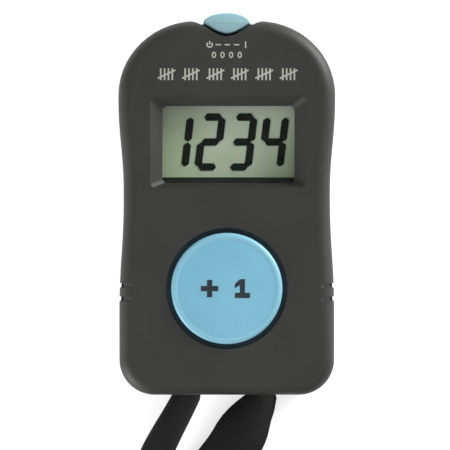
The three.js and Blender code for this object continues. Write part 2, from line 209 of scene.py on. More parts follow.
casePlastic = mouldedPlastic("casePlastic", linear(32, 32, 30), linear(39, 39, 37), 0.5, 0.62)
countPlastic = mouldedPlastic("countPlastic", linear(113, 174, 198), linear(120, 181, 205), 0.34, 0.46,
                              grain=0.15)
# Painted highlight: a paler ring on the count button's rim, where its rounded edge catches light
rimHighlightBand(countPlastic, 0, middleOf("count_button")[0].y, 9.0, 9.5, linear(176, 214, 224), 0.15)
resetPlastic = mouldedPlastic("resetPlastic", linear(140, 184, 194), linear(154, 196, 204), 0.34, 0.46,
                              grain=0.15)
whitePlastic = mouldedPlastic("whitePlastic", linear(206, 206, 200), linear(218, 218, 212), 0.45, 0.6)
blackPlastic = mouldedPlastic("blackPlastic", linear(20, 20, 22), linear(30, 30, 32), 0.35, 0.5)
# Navy for the ring in the count button's gap: painted shade, the look of the blue flange in the gap's shadow
gapShadeRubber = mouldedPlastic("gapShadeRubber", linear(42, 68, 78), linear(54, 82, 92), 0.6, 0.75)
blackRubber = mouldedPlastic("blackRubber", linear(26, 26, 28), linear(36, 36, 38), 0.6, 0.75)
paleSilicone = mouldedPlastic("paleSilicone", linear(196, 192, 184), linear(214, 210, 202), 0.5, 0.65)
screwSteel = brightMetal("screwSteel", (0.42, 0.43, 0.45), (0.58, 0.59, 0.61), 0.24, 0.42)
cellSteel = brightMetal("cellSteel", (0.62, 0.62, 0.62), (0.74, 0.74, 0.73), 0.18, 0.34)
platedStrip = brightMetal("platedStrip", (0.6, 0.52, 0.34), (0.72, 0.64, 0.44), 0.2, 0.36)
clearWindow = clearSheet("clearWindow", (0.06, 0.07, 0.06), 0.04, 0.06)
frontGlass = clearSheet("frontGlass", (0.05, 0.06, 0.04), 0.03, 0.1)
legendInk = mouldedPlastic("legendInk", linear(158, 158, 152), linear(176, 176, 170), 0.5, 0.6, grain=0.1)
countInk = mouldedPlastic("countInk", linear(10, 26, 36), linear(16, 34, 46), 0.5, 0.65, grain=0.1)


# The display's back polariser: grey-green, with a faint random change of tone and a fine speckle
def makeBacking():
    material, shader = startMaterial("displayBacking", linear(205, 222, 192), 0.6)
    tone = pattern(material, "ShaderNodeTexNoise", 70, Detail=2.0)
    twoColours(material, shader, tone.outputs["Fac"], linear(192, 214, 174), linear(212, 226, 202))
    shader.inputs["Specular IOR Level"].default_value = 0.1
    speckle = pattern(material, "ShaderNodeTexNoise", 5200, Detail=1.0)
    addBump(material, shader, speckle.outputs["Fac"], 0.2, 0.00001)
    return material


def segmentInk():
    material, shader = startMaterial("segmentInk", linear(10, 16, 12), 0.7)
    tone = pattern(material, "ShaderNodeTexNoise", 600, Detail=2.0)
    twoColours(material, shader, tone.outputs["Fac"], linear(6, 12, 8), linear(12, 20, 14))
    shader.inputs["Specular IOR Level"].default_value = 0.1
    return material


# Green solder mask over copper tracks
def boardMask():
    material, shader = startMaterial("boardMask", (0.02, 0.12, 0.05), 0.35)
    tracks = pattern(material, "ShaderNodeTexBrick", 260, **{"Mortar Size": 0.03})
    twoColours(material, shader, tracks.outputs["Fac"], (0.012, 0.1, 0.04), (0.05, 0.2, 0.08), 0.2, 0.8)
    addBump(material, shader, tracks.outputs["Fac"], 0.3, 0.00003)
    return material


# Flat woven polyester: ribs across the strap, fine lines along it, and a soft sheen. It reads the strap's own UV map,
# U across the width and V along the length, both in millimetres.
def webbing(name):
    material, shader = startMaterial(name, linear(14, 14, 15), 0.9)
    shader.inputs["Sheen Weight"].default_value = 0.04
    shader.inputs["Sheen Roughness"].default_value = 0.5
    place = addNode(material, "ShaderNodeTexCoord")
    ribs = addNode(material, "ShaderNodeTexWave", Scale=0.55, Distortion=0.6, bands_direction="Y",
                   **{"Detail": 1.0, "Detail Scale": 2.0})
    warp = addNode(material, "ShaderNodeTexWave", Scale=0.8, Distortion=0.3, bands_direction="X")
    both = addNode(material, "ShaderNodeMix", blend_type="MULTIPLY", data_type="RGBA")
    both.inputs["Factor"].default_value = 0.7
    joinNodes(material,
              (place.outputs["UV"], ribs.inputs["Vector"]),
              (place.outputs["UV"], warp.inputs["Vector"]),
              (ribs.outputs["Color"], both.inputs[6]),
              (warp.outputs["Color"], both.inputs[7]))
    twoColours(material, shader, both.outputs[2], linear(4, 4, 5), linear(12, 12, 13), 0.1, 0.9)
    addBump(material, shader, both.outputs[2], 0.6, 0.00015)
    return material


strapWebbing = webbing("strapWebbing")
tieWebbing = webbing("tieWebbing")
print("materials made")


# Making pieces

def newPiece(name, bm, material, smooth=32):
    mesh = bpy.data.meshes.new(name)
    bm.to_mesh(mesh)
    bm.free()
    piece = bpy.data.objects.new(name, mesh)
    bpy.context.scene.collection.objects.link(piece)
    mesh.materials.append(material)
    smoothOver(piece, smooth)
    return piece


def smoothOver(piece, degrees):
    piece.data.shade_smooth()
    piece.data.set_sharp_from_angle(angle=math.radians(degrees))


def belongs(piece, body, slotName, *nodes):
    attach(piece, body)
    if nodes:
        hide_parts(*nodes)
    return piece


def settle(piece):
    graph = bpy.context.evaluated_depsgraph_get()
    finished = bpy.data.meshes.new_from_object(piece.evaluated_get(graph))
    finished.name = piece.name
    piece.modifiers.clear()
    piece.data = finished


def carve(piece, tool, operation="DIFFERENCE"):
    cutter = piece.modifiers.new("carve", "BOOLEAN")
    cutter.operation = operation
    cutter.solver = "EXACT"
    cutter.object = tool
    settle(piece)
    bpy.data.objects.remove(tool)


def softEdges(piece, width, segments=2, angle=35):
    bevel = piece.modifiers.new("soft edges", "BEVEL")
    bevel.width = width * mm
    bevel.segments = segments
    bevel.limit_method = "ANGLE"
    bevel.angle_limit = math.radians(angle)
    bevel.use_clamp_overlap = True
    settle(piece)


def addBlock(bm, low, high):
    low, high = at(*low), at(*high)
    size = high - low
    place = Matrix.Translation((low + high) / 2) @ Matrix.Diagonal((*size, 1))
    return bmesh.ops.create_cube(bm, size=1, matrix=place)["verts"]


def addDisc(bm, x, y, radius, low, high, segments=48):
    place = Matrix.Translation(at(x, y, (low + high) / 2))
    return bmesh.ops.create_cone(bm, cap_ends=True, segments=segments, radius1=radius * mm,
                                 radius2=radius * mm, depth=(high - low) * mm, matrix=place)["verts"]


def addRod(bm, x, z, radius, y0, y1, segments=32):
    place = Matrix.Translation(at(x, (y0 + y1) / 2, z)) @ Matrix.Rotation(math.pi / 2, 4, "X")
    return bmesh.ops.create_cone(bm, cap_ends=True, segments=segments, radius1=radius * mm,
                                 radius2=radius * mm, depth=(y1 - y0) * mm, matrix=place)["verts"]


# A face drawn out into a closed solid
def raiseFace(bm, face, distance):
    standing = all(len(edge.link_faces) == 2 for edge in face.edges)
    made = bmesh.ops.extrude_face_region(bm, geom=[face])["geom"]
    moved = [v for v in made if isinstance(v, bmesh.types.BMVert)]
    bmesh.ops.translate(bm, verts=moved, vec=distance * mm)
    if standing:
        bmesh.ops.delete(bm, geom=[face], context="FACES_ONLY")
    bmesh.ops.recalc_face_normals(bm, faces=bm.faces)
    return moved


# A turned piece: the profile's [radius, height] points, from the axis and back to it, spun once round
def addTurned(bm, x, y, profile, segments=96):
    verts = [bm.verts.new(at(x + radius, y, height)) for radius, height in profile]
    edges = [bm.edges.new(pair) for pair in zip(verts, verts[1:])]
    bmesh.ops.spin(bm, geom=verts + edges, cent=at(x, y), axis=up, angle=2 * math.pi,
                   steps=segments, use_merge=True)
    bmesh.ops.remove_doubles(bm, verts=bm.verts, dist=1e-7)
    bmesh.ops.recalc_face_normals(bm, faces=bm.faces)


# A rounded step in a profile: points on the quarter arc from one corner to the next
def arcPoints(x, z, radius, start, end, steps=6):
    turn = [math.radians(start + (end - start) * i / steps) for i in range(steps + 1)]
    return [(x + radius * math.cos(a), z + radius * math.sin(a)) for a in turn]


def tool(build):
    bm = bmesh.new()
    build(bm)
    return newPiece("tool", bm, casePlastic, 0)


# Lanyard: a flat strap out of the left slot, through the hank and back to the right slot

lanyard = {
    "width": 10,
    "thick": 0.9,
    "length": 1050,
    "slotZ": 7.5,
    "hankZ": 5.5,
    "hankX": 4,
    "hankTop": -86,
    "hankRun": 80,
    "hankRadius": 32,
    "spacing": 4,
    "waistSpacing": 3,
    "edgeRound": 0.3,
}

# Stations are x, y, z and roll in degrees: roll 0 lies flat and roll 90 stands on its edge
leftStations = [
    (-0.15, -31.05, 7.5, 90), (-3.2, -31.05, 7.5, 88), (-6.2, -32.4, 7.5, 76),
    (-7.3, -34.9, 7.5, 62), (-9.2, -38.6, 7.4, 60), (-11.4, -42.6, 7.2, 57),
    (-13, -45.7, 7, 55), (-15.5, -50.5, 6.6, 62), (-18.5, -57, 6.3, 75),
    (-22.6, -66, 5.9, 86), (-26, -75, 5.6, 90),
]
rightStations = [
    (0.15, -31.05, 7.5, 90), (3.2, -31.05, 7.5, 91), (6.4, -32.3, 7.5, 95),
    (7.5, -34.9, 7.5, 108), (5.2, -38.6, 7.1, 136), (2.7, -42.6, 6.6, 168),
    (0.9, -45.7, 6.2, 180), (-3, -50.6, 5.9, 168), (-8, -55.7, 5.8, 135),
    (-16, -65, 5.7, 100), (-21.8, -75, 5.5, 90),
]


def arcRoute(x, y, radius, start, end, steps=14):
    turn = [math.radians(start + (end - start) * i / steps) for i in range(steps + 1)]
    return [(x + radius * math.cos(a), y + radius * math.sin(a)) for a in turn]


# One run of the hank: it starts at sideX, is pinched to its place at the waist, and ends at sideX
def hankRun(sideX, place, downwards, steps=16):
    top, run = lanyard["hankTop"], lanyard["hankRun"]
    waistX = lanyard["hankX"] + lanyard["waistSpacing"] * place
    points = []
    for i in range(1, steps):
        t = i / steps
        pinched = waistX + (sideX - waistX) * (1 + math.cos(2 * math.pi * t)) / 2
        points.append((pinched, top - run * (t if downwards else 1 - t)))
    return points


# Runs are numbered across the waist from -2.5 to 2.5. The doubled strap goes down the left side, round the
# bottom, up the right side and over the top, and its closed end turns in the bottom of the hank.
def hankRoute():
    x, top, gap = lanyard["hankX"], lanyard["hankTop"], lanyard["spacing"]
    bottom = top - lanyard["hankRun"]
    radius = lanyard["hankRadius"]
    left, right = x - radius, x + radius
    neckRadius = (right - gap - (left + 2 * gap)) / 4
    neckX = left + 2 * gap + 2 * neckRadius
    outer = [(left, top), *hankRun(left, -2.5, True), *arcRoute(x, bottom, radius, 180, 360),
             *hankRun(right, 2.5, False), *arcRoute(x + gap, top, radius - gap, 0, 180),
             *hankRun(left + 2 * gap, -0.5, True)]
    closedEnd = arcRoute(neckX - neckRadius, bottom, neckRadius, 180, 360)
    inner = [*hankRun(neckX, 0.5, False), *arcRoute(neckX + neckRadius, top, neckRadius, 180, 0),
             *hankRun(right - gap, 1.5, True), *arcRoute(x, bottom, radius - gap, 0, -180),
             *hankRun(left + gap, -1.5, False), (left + gap, top)]
    return [(px, py, lanyard["hankZ"], 90) for px, py in outer + closedEnd + inner]


# The way back is walked towards the case, so its roll is counted from the other side
wayBack = [(x, y, z, 180 - roll) for x, y, z, roll in reversed(rightStations)]
strapStations = leftStations + hankRoute() + wayBack


# The strap's stations joined by one smooth curve, read off at even steps with the roll between them
def evenSteps(stations, step):
    places = [Vector(station[:3]) for station in stations]
    fine, rolls, parts = [], [], 10
    for i in range(len(places) - 1):
        before = places[max(i - 1, 0)]
        after = places[min(i + 2, len(places) - 1)]
        a, b = places[i], places[i + 1]
        span = (b - a).length
        startPull = (b - before) * span / max((a - before).length + span, 1e-6)
        endPull = (after - a) * span / max((after - b).length + span, 1e-6)
        for k in range(parts):
            t = k / parts
            fine.append((2 * t**3 - 3 * t**2 + 1) * a + (t**3 - 2 * t**2 + t) * startPull
                        + (3 * t**2 - 2 * t**3) * b + (t**3 - t**2) * endPull)
            rolls.append(stations[i][3] + (stations[i + 1][3] - stations[i][3]) * t)
    fine.append(places[-1])
    rolls.append(stations[-1][3])
    lengths = [0.0]
    for a, b in zip(fine, fine[1:]):
        lengths.append(lengths[-1] + (b - a).length)
    count = round(lengths[-1] / step)
    found, j = [], 0
    for n in range(count + 1):
        wanted = lengths[-1] * n / count
        while j < len(fine) - 2 and lengths[j + 1] < wanted:
            j += 1
        share = (wanted - lengths[j]) / max(lengths[j + 1] - lengths[j], 1e-9)
        found.append((fine[j].lerp(fine[j + 1], share), rolls[j] + (rolls[j + 1] - rolls[j]) * share))
    return found, lengths[-1]


# The strap's section, a flat bar with rounded edges, is extruded ring by ring along the route
def makeStrap():
    width, thick, rounding = lanyard["width"] / 2, lanyard["thick"] / 2, lanyard["edgeRound"]
    flats = [width - rounding, 2.2, -2.2, -width + rounding]
    section = [(x, thick) for x in flats] + [(-width, thick / 3), (-width, -thick / 3)]
    section += [(x, -thick) for x in reversed(flats)] + [(width, -thick / 3), (width, thick / 3)]
    steps, total = evenSteps(strapStations, 1.6)
    bm = bmesh.new()
    uvLayer = bm.loops.layers.uv.new("strapMap")
    ring, edges, along = [], [], []
    middle = [place for place, roll in steps]
    for n, (place, roll) in enumerate(steps):
        heading = (middle[min(n + 1, len(middle) - 1)] - middle[max(n - 1, 0)]).normalized()
        level = heading.cross(up).normalized()
        tilt = math.radians(roll)
        across = level * math.cos(tilt) + level.cross(heading) * math.sin(tilt)
        through = heading.cross(across)
        spots = [at(*(place + across * x + through * y)) for x, y in section]
        if n == 0:
            ring = [bm.verts.new(spot) for spot in spots]
            edges = [bm.edges.new((ring[i], ring[(i + 1) % len(ring)])) for i in range(len(ring))]
            bm.faces.new(ring[::-1])
        else:
            made = bmesh.ops.extrude_edge_only(bm, edges=edges)["geom"]
            edges = [item for item in made if isinstance(item, bmesh.types.BMEdge)
                     and all(v not in ring for v in item.verts)]
            fresh = {v for edge in edges for v in edge.verts}
            follow = []
            for vert in ring:
                follow.append(next(e.other_vert(vert) for e in vert.link_edges
                                   if e.other_vert(vert) in fresh))
            for vert, spot in zip(follow, spots):
                vert.co = spot
            ring = follow
        along.append(list(ring))
    bm.faces.new(ring)
    mapped = {}
    stepLength = total / (len(steps) - 1)
    for n, rings in enumerate(along):
        for vert, (x, y) in zip(rings, section):
            mapped[vert] = (x, n * stepLength)
    for face in bm.faces:
        for loop in face.loops:
            loop[uvLayer].uv = mapped[loop.vert]
    bmesh.ops.recalc_face_normals(bm, faces=bm.faces)
    strap = newPiece("lanyardStrap", bm, strapWebbing, 50)
    belongs(strap, "case", "webbing", "lanyard_left_strand", "lanyard_right_strand", "lanyard_hank")
    print("strap length", round(total, 1), "mm")
    return strap, [at(*place) for place in middle[::3] + [middle[-1]]]



# The tie: a woven hook-and-loop band round the hank's waist, with its loose end lapped on top
tieBand = {"wall": 0.8, "length": 8, "round": 1.6, "lapThick": 0.7, "lapLength": 11}


def makeTie():
    low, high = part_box("lanyard_tie")
    middle, size = middleOf("lanyard_tie")
    bm = bmesh.new()
    addBlock(bm, (middle.x - size.x / 2, middle.y - size.y / 2, 0),
             (middle.x + size.x / 2, middle.y + size.y / 2, size.z - tieBand["lapThick"] - 0.1))
    upright = [e for e in bm.edges if abs((e.verts[0].co - e.verts[1].co).y) > size.y * mm * 0.9]
    bmesh.ops.bevel(bm, geom=upright, offset=tieBand["round"] * mm, segments=6, profile=0.5,
                    affect="EDGES", material=-1)
    ends = [f for f in bm.faces if abs(f.normal.y) > 0.9]
    bmesh.ops.inset_region(bm, faces=ends, thickness=tieBand["wall"] * mm, use_even_offset=True)
    ends = [f for f in bm.faces if abs(f.normal.y) > 0.9 and len(f.verts) > 8]
    bmesh.ops.bridge_loops(bm, edges=[e for f in ends for e in f.edges])
    bmesh.ops.delete(bm, geom=ends, context="FACES_ONLY")
    lapRight = middle.x + size.x / 2 - tieBand["round"]
    addBlock(bm, (lapRight - tieBand["lapLength"], middle.y - size.y / 2 + 0.15, size.z - tieBand["lapThick"] - 0.1),
             (lapRight, middle.y + size.y / 2 - 0.15, size.z - 0.1))
    bmesh.ops.recalc_face_normals(bm, faces=bm.faces)
    uvLayer = bm.loops.layers.uv.new("strapMap")
    for face in bm.faces:
        for loop in face.loops:
            spot = loop.vert.co / mm
            loop[uvLayer].uv = (spot.y, spot.x + spot.z)
    tie = newPiece("lanyardTie", bm, tieWebbing, 40)
    softEdges(tie, 0.15, 2, 50)
    smoothOver(tie, 40)
    return belongs(tie, "case", "webbing", "lanyard_tie")


strap, strapPath = makeStrap()
tie = makeTie()
print("lanyard made")


# Case

caseShape = {
    "topFlat": 5.8,
    "shoulder": (20.3, 21.1),
    "waist": (19.3, 2.3),
    "grip": (20.1, -19.6),
    "corner": 6.6,
    "edgeRound": 2.5,
    "wall": 1.8,
    "faceWall": 2.0,
    "parting": 6.0,
    "fineEdge": 0.18,
}


# The outline as a flat curve: elliptic shoulders, a waist, straight grips and round bottom corners
def outlineMesh():
    arc = 0.5523
    shape = caseShape
    (shoulderX, shoulderY), (waistX, waistY), (gripX, gripY) = shape["shoulder"], shape["waist"], shape["grip"]
    corner = shape["corner"]
    sweepUp, sweepDown = 0.45 * (shoulderY - waistY), 0.45 * (waistY - gripY)
    top, cornerY = caseTop, corner - caseTop
    knots = [
        ((shape["topFlat"], top), (shape["topFlat"] - 1, top),
         (shape["topFlat"] + arc * (shoulderX - shape["topFlat"]), top)),
        ((shoulderX, shoulderY), (shoulderX, shoulderY + arc * (top - shoulderY)),
         (shoulderX, shoulderY - sweepUp)),
        ((waistX, waistY), (waistX, waistY + sweepUp), (waistX, waistY - sweepDown)),
        ((gripX, gripY), (gripX, gripY + sweepDown), (gripX, gripY - 1)),
        ((gripX, cornerY), (gripX, cornerY + 1), (gripX, cornerY - arc * corner)),
        ((gripX - corner, -top), (gripX - corner + arc * corner, -top), (gripX - corner - 1, -top)),
    ]
    mirrored = [((-p[0], p[1]), (-b[0], b[1]), (-a[0], a[1])) for p, a, b in reversed(knots)]
    curve = bpy.data.curves.new("caseOutline", "CURVE")
    curve.dimensions, curve.fill_mode, curve.resolution_u = "2D", "BOTH", 14
    spline = curve.splines.new("BEZIER")
    spline.bezier_points.add(2 * len(knots) - 1)
    spline.use_cyclic_u = True
    for point, (place, before, after) in zip(spline.bezier_points, knots + mirrored):
        point.handle_left_type = point.handle_right_type = "FREE"
        point.co, point.handle_left, point.handle_right = (
            Vector((x, y + middleY, 0)) * mm for x, y in (place, before, after))
    holder = bpy.data.objects.new("caseOutline", curve)
    bpy.context.scene.collection.objects.link(holder)
    bpy.context.view_layer.update()
    mesh = bpy.data.meshes.new_from_object(holder)
    bpy.data.objects.remove(holder)
    return mesh


caseOutline = outlineMesh()


# One closed block of the case outline between two heights, drawn in by inset, with round top or bottom edges
def outlineBlock(bm, low, high, inset=0.0, roundTop=0.0, roundBottom=0.0, segments=8):
    bm.from_mesh(caseOutline)
    bmesh.ops.remove_doubles(bm, verts=bm.verts, dist=1e-6)
    bmesh.ops.dissolve_faces(bm, faces=bm.faces)
    bmesh.ops.dissolve_degenerate(bm, edges=bm.edges, dist=1e-6)
    face = bm.faces[:][0]
    if face.normal.z < 0:
        bmesh.ops.reverse_faces(bm, faces=[face])
    if inset:
        ring = bmesh.ops.inset_region(bm, faces=[face], thickness=inset * mm, use_boundary=True,
                                      use_even_offset=True)["faces"]
        bmesh.ops.delete(bm, geom=ring, context="FACES")
        loose = [v for v in bm.verts if not v.link_faces]
        bmesh.ops.delete(bm, geom=loose, context="VERTS")
        face = bm.faces[:][0]
    bmesh.ops.translate(bm, verts=bm.verts, vec=up * low * mm)
    raiseFace(bm, face, up * (high - low))
    for amount, side in ((roundTop, 1), (roundBottom, -1)):
        if amount:
            cap = next(f for f in bm.faces if f.normal.z * side > 0.9)
            bmesh.ops.bevel(bm, geom=list(cap.edges), offset=amount * mm, segments=segments, profile=0.5,
                            affect="EDGES", material=-1)


windowCut = {"width": 24.7, "height": 14.4, "bevelX": 2.2, "bevelTop": 1.8, "bevelBottom": 0.9, "depth": 1.4,
             "corner": 0.9}
displayMiddle, displaySize = middleOf("display_window")
countMiddle, countSize = middleOf("count_button")
resetLow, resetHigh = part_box("reset_button")
scallop = {"half": 7.2, "depth": 3.0}
strapSlot = {"x": 7.1, "width": 7, "low": 2.2, "high": 12.8}
gripGroove = {"places": (-14.5, -17), "width": 0.9, "section": ((19.35, 3), (19.35, 12), (17.6, 15.1), (21, 15.1), (21, 3))}
caseScrewPlaces = [middleOf(f"case_screw_{i}")[0] for i in range(1, 5)]
boardScrewPlaces = [middleOf(f"board_screw_{side}")[0] for side in ("left", "right")]


def roundCorners(bm, radius):
    upright = [e for e in bm.edges if abs((e.verts[0].co - e.verts[1].co).normalized().z) > 0.99]
    bmesh.ops.bevel(bm, geom=upright, offset=radius * mm, segments=5, profile=0.5, affect="EDGES", material=-1)


def topFace(bm):
    return max(bm.faces, key=lambda face: face.calc_center_median().z)


# The window's opening, which slopes out to its frame on the face
def windowFrame(bm):
    halfWidth, halfHeight = windowCut["width"] / 2, windowCut["height"] / 2
    addBlock(bm, (displayMiddle.x - halfWidth, displayMiddle.y - halfHeight, faceZ - caseShape["faceWall"] - 0.5),
             (displayMiddle.x + halfWidth, displayMiddle.y + halfHeight, faceZ - windowCut["depth"]))
    roundCorners(bm, windowCut["corner"])
    for vert in raiseFace(bm, topFace(bm), up * windowCut["depth"]):
        offset = (vert.co - at(displayMiddle.x, displayMiddle.y)) / mm
        rise = windowCut["bevelTop"] if offset.y > 0 else windowCut["bevelBottom"]
        vert.co.x += offset.x / halfWidth * windowCut["bevelX"] * mm
        vert.co.y += offset.y / halfHeight * rise * mm
    raiseFace(bm, topFace(bm), up)


def countHole(bm):
    addDisc(bm, 0, countMiddle.y, 11.3, faceZ - caseShape["faceWall"] - 0.5, faceZ + 1, 128)


# The scallop in the top end: a smooth dip round the reset button
def scallopY(x):
    share = min(abs(x) / scallop["half"], 1)
    return caseTop - scallop["depth"] * (1 - share * share * (3 - 2 * share))


def resetPocket(bm, steps=36):
    floor = [scallop["half"] * (2 * i / steps - 1) for i in range(steps + 1)]
    low = resetLow.z / mm - 0.6
    verts = [bm.verts.new(at(x, scallopY(x), low)) for x in floor]
    verts += [bm.verts.new(at(side * scallop["half"], caseTop + 3, low)) for side in (1, -1)]
    raiseFace(bm, bm.faces.new(verts), up * (faceZ + 1 - low))


def strapSlots(bm):
    for side in (-1, 1):
        x, half = side * strapSlot["x"], strapSlot["width"] / 2
        addBlock(bm, (x - half, -caseTop - 3, strapSlot["low"]), (x + half, -caseTop + 2.4, strapSlot["high"]))
    upright = [e for e in bm.edges if abs((e.verts[0].co - e.verts[1].co).y) > 4 * mm]
    bmesh.ops.bevel(bm, geom=upright, offset=1.4 * mm, segments=5, profile=0.5, affect="EDGES", material=-1)


def gripGrooves(bm):
    for side in (-1, 1):
        for y in gripGroove["places"]:
            verts = [bm.verts.new(at(side * x, y - gripGroove["width"] / 2, z)) for x, z in gripGroove["section"]]
            raiseFace(bm, bm.faces.new(verts), Vector((0, gripGroove["width"], 0)))


def screwHoles(bm, places, radius, low, high):
    for place in places:
        addDisc(bm, place.x, place.y, radius, low, high, 24)


# Small rounded edges, and shading that keeps the flat faces flat
def finishShell(shell):
    softEdges(shell, caseShape["fineEdge"], 2, 25)
    smoothOver(shell, 22)
    weights = shell.modifiers.new("flat faces", "WEIGHTED_NORMAL")
    weights.keep_sharp = True
    weights.weight = 80
    settle(shell)


def makeFrontShell():
    low = shellLow.z / mm
    inner = faceZ - caseShape["faceWall"]
    bm = bmesh.new()
    outlineBlock(bm, low, faceZ, roundTop=caseShape["edgeRound"])
    shell = newPiece("frontShell", bm, casePlastic)
    carve(shell, tool(lambda bm: outlineBlock(bm, low - 1, inner, inset=caseShape["wall"], roundTop=1.0,
                                              segments=3)))

    def bosses(bm):
        for place in caseScrewPlaces:
            addDisc(bm, place.x, place.y, 2.6, low, inner + 0.5, 32)
        for place in boardScrewPlaces:
            addDisc(bm, place.x, place.y, 2.2, 7.9, inner + 0.5, 32)
        addBlock(bm, (-8, 30.6, low), (8, caseTop - 0.8, inner + 0.5))
        addBlock(bm, (-10, -28.9, low), (10, -28, inner + 0.5))

    carve(shell, tool(bosses), "UNION")
    for cutter in (windowFrame, countHole, resetPocket, strapSlots, gripGrooves):
        carve(shell, tool(cutter))
    carve(shell, tool(lambda bm: (screwHoles(bm, caseScrewPlaces, 1.1, low - 1, 11),
                                  screwHoles(bm, boardScrewPlaces, 1.0, 7, 11.5))))
    finishShell(shell)
    return belongs(shell, "case", "case", "front_shell")


makeFrontShell()
print("front shell made")

# The rear shell: its lip stands inside the front shell's wall, and a ring makes the battery well
def makeRearShell():
    parting, wall = caseShape["parting"], caseShape["wall"]
    bm = bmesh.new()
    outlineBlock(bm, 0, parting, roundBottom=caseShape["edgeRound"])
    shell = newPiece("rearShell", bm, casePlastic)
    carve(shell, tool(lambda bm: outlineBlock(bm, wall, parting + 1, inset=wall, roundBottom=1.0, segments=3)))
    lip = tool(lambda bm: outlineBlock(bm, 4, 7.2, inset=wall + 0.3))
    carve(lip, tool(lambda bm: outlineBlock(bm, 3, 8, inset=wall + 1.3)))

    def lipGaps(bm):
        addBlock(bm, (-8.6, 25, parting), (8.6, 40, 8))
        addBlock(bm, (-11, -40, 3), (11, -25, 8.5))
        screwHoles(bm, caseScrewPlaces, 2.9, parting, 9)

    carve(lip, tool(lipGaps))
    carve(shell, lip, "UNION")

    def inside(bm):
        for place in caseScrewPlaces:
            addDisc(bm, place.x, place.y, 2.9, 1, parting - 0.3, 32)
        addBlock(bm, (-8, 30.6, 1), (8, caseTop - 0.8, parting))
        addBlock(bm, (-10, -28.9, 1), (10, -28, parting))

    carve(shell, tool(inside), "UNION")
    well = tool(lambda bm: addDisc(bm, 0, batteryCap["y"], 13.7, 1, 5.6, 96))
    carve(well, tool(lambda bm: addDisc(bm, 0, batteryCap["y"], 12.7, 0, 7, 96)))
    carve(shell, well, "UNION")
    carve(shell, tool(lambda bm: addDisc(bm, 0, batteryCap["y"], 11.6, -1, 3, 128)))
    carve(shell, tool(lambda bm: capLugs(bm, batteryCap["turn"], 36, 12.65, -1, 3)))
    for cutter in (resetPocket, strapSlots, gripGrooves, lockMarks):
        carve(shell, tool(cutter))
    carve(shell, tool(lambda bm: addBlock(bm, (-1.45, 30, 2.95), (1.45, 33, parting + 1))))
    carve(shell, tool(lambda bm: screwHoles(bm, caseScrewPlaces, 2.05, -1, 2.3)))
    carve(shell, tool(lambda bm: screwHoles(bm, caseScrewPlaces, 1.3, 0, 7)))
    finishShell(shell)
    return belongs(shell, "case", "case", "rear_shell")


batteryCap = {
    "y": middleOf("coin_cell")[0].y,
    "radius": 11.3,
    "thick": 1.5,
    "lugRadius": 12.4,
    "lugAngle": 30,
    "turn": 45,
    "slotWidth": 1.6,
    "slotLength": 13,
    "slotDepth": 0.8,
}


# Three sectors about the cap's axis, turned by an angle
def capLugs(bm, turned, span, radius, low, high):
    for n in range(3):
        middle = 90 + 120 * n + turned
        arc = arcRoute(0, batteryCap["y"], radius, middle - span / 2, middle + span / 2, 8)
        verts = [bm.verts.new(at(x, y, low)) for x, y in [(0, batteryCap["y"]), *arc]]
        raiseFace(bm, bm.faces.new(verts), up * (high - low))


# Moulded marks round the cap: a dot where it is locked and a ring where it lifts out
def lockMarks(bm):
    for angle, radius in ((90, 0.55), (90 + batteryCap["turn"], 0.8)):
        x, y = arcRoute(0, batteryCap["y"], 14.6, angle, angle, 1)[0]
        addDisc(bm, x, y, radius, -1, 0.25, 24)


def makeBatteryCap():
    radius, thick, y = batteryCap["radius"], batteryCap["thick"], batteryCap["y"]
    bm = bmesh.new()
    edge = arcPoints(radius - 0.4, 0.4, 0.4, -90, 0)
    addTurned(bm, 0, y, [(0, 0), (7.6, 0), (7.9, 0.2), (8.4, 0.2), (8.7, 0), *edge, (radius, 3.2),
                         (10.4, 3.2), (10.4, thick), (0, thick)], 128)
    cap = newPiece("batteryCap", bm, casePlastic)
    lugs = tool(lambda bm: capLugs(bm, 0, batteryCap["lugAngle"], batteryCap["lugRadius"], 2.1, 3.1))
    carve(lugs, tool(lambda bm: addDisc(bm, 0, y, 10.8, 2, 4, 128)))
    carve(cap, lugs, "UNION")

    def coinSlot(bm):
        half, width = batteryCap["slotLength"] / 2, batteryCap["slotWidth"] / 2
        addBlock(bm, (-half, y - width, -1), (half, y + width, batteryCap["slotDepth"]))
        roundCorners(bm, width * 0.95)

    carve(cap, tool(coinSlot))
    softEdges(cap, 0.12)
    smoothOver(cap, 32)
    return belongs(cap, "battery_door", "case", "battery_cap")


makeRearShell()
makeBatteryCap()
print("rear shell and battery cap made")


# Screws

screwShape = {"headRadius": 1.75, "headLow": 0.5, "headHigh": 2.0, "shaft": 0.8, "tip": 10.5,
              "pitch": 0.9, "threadDepth": 0.18}


# A domed cross head on a threaded shaft, head down
def makeScrew(name, place, shape, material):
    low, high = shape["headLow"], shape["headHigh"]
    shaft, depth = shape["shaft"], shape["threadDepth"]
    bm = bmesh.new()
    dome = arcPoints(0, low + shape["headRadius"] * 1.2, shape["headRadius"] * 1.2, -90, -42, 6)
    profile = [point for point in dome if point[0] < shape["headRadius"] * 0.8]
    profile += [(shape["headRadius"], high - 0.45), (shape["headRadius"], high), (shaft, high)]
    z = high
    while z < shape["tip"] - 1.6:
        profile += [(shaft - depth, z + shape["pitch"] * 0.35), (shaft, z + shape["pitch"] / 2),
                    (shaft - depth, z + shape["pitch"] * 0.65)]
        z += shape["pitch"] * 0.6
    profile += [(shaft - depth, shape["tip"] - 0.6), (0, shape["tip"])]
    addTurned(bm, place.x, place.y, profile, 40)
    screw = newPiece(name, bm, material)
    turned = math.radians(25 + 40 * place.x)

    for angle in (turned, turned + math.pi / 2):
        bm = bmesh.new()
        verts = addBlock(bm, (place.x - 1.1, place.y - 0.24, low - 1), (place.x + 1.1, place.y + 0.24, low + 0.65))
        bmesh.ops.rotate(bm, verts=verts, cent=at(place.x, place.y), matrix=Matrix.Rotation(angle, 3, "Z"))
        carve(screw, newPiece("recess", bm, material, 0))
    softEdges(screw, 0.05, 2, 45)
    smoothOver(screw, 40)
    return screw


